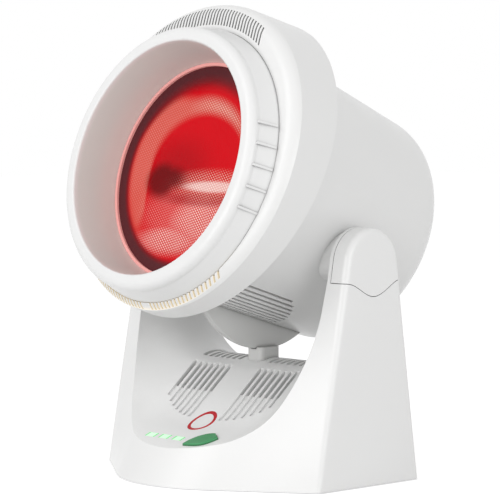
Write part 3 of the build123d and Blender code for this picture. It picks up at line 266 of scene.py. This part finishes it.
# ---------------------------------------------------------------- general materials
def plastic(name, colour, rough=0.32, coat=0.15, grain=0.02, specular=0.45, crease=CREASE_DEPTH,
            open_at=CREASE_OPEN):
    """Moulded plastic with a faint drift of tone and shaded creases."""
    n = Nodes(name)
    body = n.ramp(n.noise(DRIFT_SCALE, 2.0), (0.35, scaled(colour, 0.985)), (0.65, scaled(colour, 1.015)))
    n.surface(Base_Color=painted_crease_shade(n, body, crease, open_at))
    moulded(n, rough, coat, specular, grain)
    return n.mat


def metal(name, colour, rough=0.3, grain=0.03, scale=(1, 1, 1)):
    """Drawn or turned metal; a small scale along one way stretches its streaks that way."""
    n = Nodes(name)
    mapping = n.add("ShaderNodeMapping")
    mapping.inputs["Scale"].default_value = scale
    n.link(n.coords(), mapping.inputs["Vector"])
    streak = n.noise(900.0, 3.0, 0.6, mapping.outputs[0])
    n.surface(
        Metallic=1.0,
        Roughness=n.map_range(streak, 0.3, 0.7, rough - 0.06, rough + 0.1),
        Base_Color=n.ramp(streak, (0.2, scaled(colour, 0.9)), (0.8, colour)),
    )
    n.bump(streak, grain, 0.0001)
    return n.mat


def simple(name, colour, rough=0.5, grain=0.05, scale=700.0):
    """Rubber, felt, laminate, ceramic or unpolished plastic: fine specks in tone and height."""
    n = Nodes(name)
    speck = n.noise(scale)
    body = n.ramp(speck, (0.3, scaled(colour, 0.92)), (0.7, colour))
    n.surface(Base_Color=body, Roughness=rough, Specular_IOR_Level=0.4)
    n.bump(speck, grain)
    return n.mat


def glowing(name, colour, rough, glow, strength, scale, grain):
    """Something that lets light through or gives it off."""
    n = Nodes(name)
    n.surface(Base_Color=colour, Roughness=rough, Emission_Color=glow, Emission_Strength=strength)
    n.bump(n.noise(scale, 2.0), grain)
    return n.mat


# ---------------------------------------------------------------- the head's front
def nose_coords(n):
    """Coordinates across (x), up (y) and along (s) the nose, in mm, from the lamp's own frame."""
    place = n.add("ShaderNodeMapping", vector_type="POINT")
    inverse = nose_matrix().inverted()
    place.inputs["Rotation"].default_value = inverse.to_euler("XYZ")
    place.inputs["Location"].default_value = inverse.to_translation()
    place.inputs["Scale"].default_value = (1 / MM, 1 / MM, 1 / MM)
    n.link(n.coords(), place.inputs["Vector"])
    split = n.add("ShaderNodeSeparateXYZ")
    n.link(place.outputs[0], split.inputs[0])
    return split.outputs["X"], split.outputs["Y"], split.outputs["Z"]


def bezel_material():
    """White moulding with painted shade in its funnel and painted light from the red glass: greyer and
    warmer inside, rosy by the seal; the lamp's amber glow is painted behind the chin slots.
    """
    n = Nodes("moulded_white_bezel")
    x, y, s = nose_coords(n)
    r = n.length(x, y)
    inside = n.times(n.smooth(r, *FUNNEL_R), n.smooth(s, *FUNNEL_S))
    funnel = n.mix(n.smooth(s, *FUNNEL_NEAR_S), FUNNEL_SHADE, FUNNEL_PINK_LIGHT)
    body = n.mix(n.noise(DRIFT_SCALE, 2.0), *BEZEL_WHITE)
    # painted amber glow of the lamp's light on the bezel behind the chin slots
    skirt = n.times(n.smooth(y, *SKIRT_Y), n.smooth(s, *SKIRT_S), n.math("GREATER_THAN", r, SKIRT_R))
    n.surface(
        Base_Color=painted_crease_shade(n, n.mix(inside, body, funnel)),
        Emission_Color=PAINTED_LAMP_AMBER,
        Emission_Strength=n.times(skirt, SKIRT_GLOW),
    )
    moulded(n, *FRONT_FINISH)
    return n.mat


def ring_material():
    """White hood with the lamp's amber light painted as a glow on its chin slots' walls."""
    n = Nodes("moulded_white_ring")
    x, y, s = nose_coords(n)
    body = n.mix(n.noise(DRIFT_SCALE, 2.0), *RING_WHITE)
    # painted amber glow of the lamp's light on the slot walls: near the bezel, in the lower half, and not
    # facing forward
    facing = n.add("ShaderNodeVectorMath", operation="DOT_PRODUCT")
    n.link(n.coords("Normal"), facing.inputs[0])
    facing.inputs[1].default_value = nose_matrix().to_3x3() @ Vector((0, 0, 1))
    wall = n.smooth(n.math("ABSOLUTE", facing.outputs["Value"]), *SLOT_FACING)
    ahead = n.math("GREATER_THAN", s, SLOT_S)
    place = n.times(n.smooth(n.length(x, y), *SLOT_R), n.smooth(y, *SLOT_Y), ahead)
    n.surface(
        Base_Color=painted_crease_shade(n, body, depth=0.55),
        Emission_Color=PAINTED_LAMP_AMBER,
        Emission_Strength=n.times(wall, place, SLOT_GLOW),
    )
    moulded(n, *FRONT_FINISH)
    return n.mat


def guide_material():
    """Light windows over the green lights: pale middle, green at both ends."""
    n = Nodes("guide_green")
    split = n.add("ShaderNodeSeparateXYZ")
    n.link(n.coords(), split.inputs[0])
    along = n.ratio(split.outputs["X"], (LED_FIRST_X - LED_PITCH / 2) * MM, LED_PITCH * MM)
    from_middle = n.math("ABSOLUTE", n.math("SUBTRACT", n.math("FRACT", along), 0.5))
    glow = n.smooth(from_middle, 0.30, 0.22)
    n.surface(
        Base_Color=n.mix(glow, rgb(0.05, 0.62, 0.12), rgb(0.62, 0.90, 0.66)),
        Emission_Color=n.mix(glow, rgb(0.02, 0.75, 0.10), rgb(0.50, 0.85, 0.55)),
        Emission_Strength=0.3,
        Roughness=0.3,
    )
    n.bump(n.noise(700.0, 2.0), 0.05)
    return n.mat


# ---------------------------------------------------------------- the glass
def spot(n, x, y, place, size, soft):
    """1 inside an ellipse, falling to 0 outside it; soft is the width of the fall."""
    across = n.ratio(x, place[0], size[0])
    up = n.ratio(y, place[1], size[1])
    return n.smooth(n.length(across, up), 1.0 + soft / 2, 1.0 - soft / 2)


def stipple(n, x, y):
    """Hexagonal stipple of pale dots: three waves, 60 degrees apart."""
    waves = None
    for angle in STIPPLE_ANGLES:
        across = n.times(x, cos(radians(angle)))
        up = n.times(y, sin(radians(angle)))
        wave = n.math("COSINE", n.times(n.math("ADD", across, up), 2 * pi / STIPPLE_PITCH))
        waves = wave if waves is None else n.math("ADD", waves, wave)
    return n.smooth(waves, -0.9, 1.4)


def bowl_wall(n, x, y, r):
    """Where the bowl's bright wall is painted round its red middle: crisp inside, soft outside."""
    above = n.math("GREATER_THAN", y, BOWL_Y)
    tall = n.math("ADD", n.times(above, BOWL_UP - BOWL_DOWN), BOWL_DOWN)
    reach = n.length(n.ratio(x, BOWL_X, BOWL_ACROSS), n.ratio(y, BOWL_Y, tall))
    side = n.most(n.smooth(x, *WALL_LEFT_X), n.smooth(x, *WALL_RIGHT_X))
    outer = n.ratio(r, n.map_range(side, 0.0, 1.0, *WALL_R), WALL_EDGE)
    blur = n.math("ADD", n.smooth(y, *WALL_BLUR_UP), n.smooth(y, *WALL_BLUR_DOWN))
    inner = n.smooth(n.ratio(reach, 0.96, blur), 0.0, 1.0)
    return n.times(inner, n.smooth(outer, 1.0, -1.0))


def glass_material():
    """Red filter glass with a dark border and a fine stipple, the lamp behind it painted on dimly: the
    reflector's light, the tube's highlight and their shade.
    """
    n = Nodes("filter_red")
    x, y, _ = nose_coords(n)
    r = n.length(x, y)
    dot = stipple(n, x, y)
    speck = n.map_range(dot, 0.0, 1.0, 0.12, 1.0)
    blotch = n.noise(22.0, 2.0)

    def cover(body, mask, strength, colour):
        return n.mix(n.times(mask, strength), body, colour)

    body = n.mix(blotch, RED, RED_LIGHT)
    body = cover(body, spot(n, x, y, *BOWL_SHADE), 0.5, PAINTED_SHADE_RED)
    # painted reflection of the bowl's wall, and its palest ridge above
    wall = bowl_wall(n, x, y, r)
    body = cover(body, wall, 0.85, WALL_REFLECTION_ORANGE)
    bright = n.most(n.times(n.smooth(x, *RIDGE_LEFT_X), n.smooth(x, *RIDGE_RIGHT_X)), 0.3)
    body = cover(body, n.times(wall, bright, n.smooth(y, *RIDGE_Y)), speck, PALE_HIGHLIGHT)
    # painted light on the bowl's floor below the lamp, with a redder fold through it
    low = n.most(spot(n, x, y, *CRESCENT), spot(n, x, y, *FLOOR_RIGHT))
    low = n.most(low, n.times(spot(n, x, y, *FLOOR_LEFT), 0.35))
    low = n.times(low, n.map_range(blotch, 0.35, 0.65, 0.75, 1.0))
    body = cover(body, low, speck, BOWL_FLOOR_LIGHT)
    # the lamp, painted: the shade under it, its lit tube's highlight and its holders in shade
    body = cover(body, spot(n, x, y, *TUBE_SHADE), 0.45, PAINTED_SHADE_RED)
    body = cover(body, n.times(spot(n, x, y, *TUBE_HALO), dot), 0.75, PALE_HIGHLIGHT)
    body = cover(body, spot(n, x, y, *TUBE), n.map_range(dot, 0.0, 1.0, 0.55, 1.0), TUBE_HIGHLIGHT)
    holders = n.most(*(spot(n, x, y, *place) for place in (HOLDER_LEFT, HOLDER_SHADE, HOLDER_RIGHT)))
    body = cover(body, holders, 0.85, HOLDER_SHADE_RED)
    # dark border, crisp at the sides and below, softer at the top
    top = n.smooth(y, *BORDER_TOP_Y)
    edge = n.ratio(r, n.map_range(top, 0.0, 1.0, *BORDER_R), n.map_range(top, 0.0, 1.0, *BORDER_EDGE))
    body = n.mix(n.smooth(edge, 0.0, 1.0), body, BORDER_INNER)
    body = n.mix(n.smooth(edge, 0.5, 1.5), body, BORDER)
    # the painted colours also glow faintly, standing in for the lamp's light through the glass
    n.surface(
        Base_Color=body,
        Emission_Color=body,
        Emission_Strength=0.12,
        Roughness=0.1,
        Specular_IOR_Level=0.06,
    )
    n.bump(dot, 0.15)
    return n.mat


# ---------------------------------------------------------------- each slot's material
# crease and open_at set how deep each plastic's painted crease shade goes
MATS = {
    "base_white": plastic("moulded_white_base", rgb(0.80, 0.80, 0.795), 0.34, crease=0.25, open_at=0.6),
    "head_white": plastic("moulded_white_head", rgb(0.765, 0.765, 0.76), 0.30, crease=0.7),
    "bezel_white": bezel_material(),
    "underside_plastic": plastic("underside_plastic", rgb(0.62, 0.62, 0.61), 0.5, coat=0.0, grain=0.06),
    "button_green": plastic("button_green", rgb(0.045, 0.27, 0.10), 0.38, coat=0.1, grain=0.04),
    "marker_red": plastic("marker_red", rgb(0.50, 0.008, 0.016), 0.4, coat=0.0, grain=0.0, specular=0.2),
    "foot_rubber": simple("foot_rubber", rgb(0.03, 0.03, 0.03), 0.75),
    "bush_plastic": simple("bush_plastic", rgb(0.75, 0.75, 0.72), 0.45),
    "pad_felt": simple("pad_felt", rgb(0.10, 0.10, 0.10), 0.9, grain=0.4, scale=2500.0),
    "board_laminate": simple("board_laminate", rgb(0.02, 0.12, 0.05), 0.35),
    "component_black": simple("component_black", rgb(0.02, 0.02, 0.02), 0.5),
    "component_blue": simple("component_blue", rgb(0.02, 0.06, 0.35), 0.4),
    "transformer_yellow": simple("transformer_yellow", rgb(0.60, 0.42, 0.06), 0.55),
    "terminal_green": simple("terminal_green", rgb(0.02, 0.22, 0.07), 0.4),
    "gland_black": simple("gland_black", rgb(0.02, 0.02, 0.02), 0.6),
    "holder_ceramic": simple("holder_ceramic", rgb(0.80, 0.78, 0.72), 0.55, grain=0.1),
    "screw_steel": metal("screw_steel", rgb(0.55, 0.55, 0.56)),
    "pin_steel": metal("pin_steel", rgb(0.60, 0.60, 0.61), scale=(0.05, 1, 1)),
    "clip_steel": metal("clip_steel", rgb(0.62, 0.62, 0.62)),
    "reflector_aluminium": metal("reflector_aluminium", rgb(0.85, 0.85, 0.85), 0.18),
    # the seal's faint red glow is painted light from the lamp behind the red glass
    "seal_pink": glowing("seal_pink", rgb(0.86, 0.42, 0.40), 0.4, rgb(1.0, 0.25, 0.2), 0.12, 900.0, 0.03),
    "led_body": glowing("led_body", rgb(0.6, 0.9, 0.55), 0.3, rgb(0.3, 1.0, 0.3), 1.0, 700.0, 0.02),
    "lamp_quartz": glowing("lamp_quartz", rgb(1.0, 0.86, 0.75), 0.12, rgb(1.0, 0.45, 0.2), 1.2, 300.0, 0.02),
    "guide_green": guide_material(),
    "filter_red": glass_material(),
}

# nodes whose finish differs from that of their slot; the keel's and post's grey is painted shade from the
# head above them
SHADE_GREY = rgb(0.60, 0.60, 0.59)
OWN_MATS = {
    "outer_ring": ring_material(),
    "tilt_keel": plastic("shaded_grey_tilt_keel", SHADE_GREY, 0.4),
    "brake_post": plastic("shaded_grey_brake_post", SHADE_GREY, 0.4),
}

slot_of = {s["node"]: s["material_slot"] for s in frame["record"]["subparts"]}
for node, obj in frame["nodes"].items():
    mat = OWN_MATS.get(node) or MATS[slot_of[node]]
    if not obj.material_slots:
        obj.data.materials.append(mat)
    for slot in obj.material_slots:
        slot.material = mat

# ---------------------------------------------------------------- floor, light and camera
scene = bpy.context.scene


def seen(tree):
    """1 where the camera, a mirror or glass looks, 0 where light is gathered for a surface."""
    path = tree.nodes.new("ShaderNodeLightPath")
    total = path.outputs["Is Camera Ray"]
    for kind in ("Is Glossy Ray", "Is Transmission Ray"):
        larger = tree.nodes.new("ShaderNodeMath")
        larger.operation = "MAXIMUM"
        tree.links.new(total, larger.inputs[0])
        tree.links.new(path.outputs[kind], larger.inputs[1])
        total = larger.outputs[0]
    return total


def two_faced(tree, output_kind, gathered, looked_at):
    """Ends a tree in one shader where light is gathered and another where it is looked at."""
    out = tree.nodes.new(output_kind)
    mix = tree.nodes.new("ShaderNodeMixShader")
    tree.links.new(seen(tree), mix.inputs["Fac"])
    tree.links.new(gathered.outputs[0], mix.inputs[1])
    tree.links.new(looked_at.outputs[0], mix.inputs[2])
    tree.links.new(mix.outputs[0], out.inputs["Surface"])


def shader(tree, kind, colour, strength=None):
    node = tree.nodes.new(kind)
    node.inputs["Color"].default_value = colour
    if strength is not None:
        node.inputs["Strength"].default_value = strength
    return node


def floor():
    """Pale floor that looks white and keeps the lamp's soft shadow."""
    bpy.ops.mesh.primitive_plane_add(size=FLOOR_SIZE, location=(0, 0, 0))
    plane = bpy.context.object
    plane.name = "floor"
    mat = bpy.data.materials.new("floor_white")
    mat.use_nodes = True
    tree = mat.node_tree
    tree.nodes.clear()
    glow = shader(tree, "ShaderNodeEmission", WHITE, FLOOR_GLOW)
    lit = shader(tree, "ShaderNodeBsdfDiffuse", FLOOR_LIT)
    both = tree.nodes.new("ShaderNodeAddShader")
    tree.links.new(glow.outputs[0], both.inputs[0])
    tree.links.new(lit.outputs[0], both.inputs[1])
    plain = shader(tree, "ShaderNodeBsdfDiffuse", FLOOR_COLOUR)
    two_faced(tree, "ShaderNodeOutputMaterial", plain, both)
    plane.data.materials.append(mat)


def studio():
    """White surroundings that light the lamp less than they show."""
    world = bpy.data.worlds.new("studio")
    scene.world = world
    world.use_nodes = True
    tree = world.node_tree
    tree.nodes.clear()
    light = shader(tree, "ShaderNodeBackground", WHITE, WORLD_LIGHT)
    sight = shader(tree, "ShaderNodeBackground", WHITE, WORLD_SEEN)
    two_faced(tree, "ShaderNodeOutputWorld", light, sight)


def area(name, place, size, power):
    data = bpy.data.lights.new(name, "AREA")
    data.shape = "RECTANGLE"
    data.size, data.size_y = size
    data.energy = power
    obj = bpy.data.objects.new(name, data)
    scene.collection.objects.link(obj)
    obj.location = place
    obj.rotation_euler = (LIGHT_AIM - Vector(place)).to_track_quat("-Z", "Y").to_euler()


def camera():
    """The photograph's view: from the front right, a little above the table, through a long lens."""
    data = bpy.data.cameras.new("camera")
    data.sensor_width = CAMERA_SENSOR
    data.lens = CAMERA_LENS
    data.shift_x, data.shift_y = CAMERA_SHIFT
    obj = bpy.data.objects.new("camera", data)
    scene.collection.objects.link(obj)
    flat = cos(CAMERA_EL)
    offset = Vector((sin(CAMERA_AZ) * flat, -cos(CAMERA_AZ) * flat, sin(CAMERA_EL))) * CAMERA_DIST
    obj.location = CAMERA_AIM + offset
    obj.rotation_euler = (-offset).to_track_quat("-Z", "Y").to_euler()
    scene.camera = obj


floor()
studio()
for name, (place, size, power) in LIGHTS.items():
    area(name, place, size, power)
camera()
scene.view_settings.view_transform = "Standard"
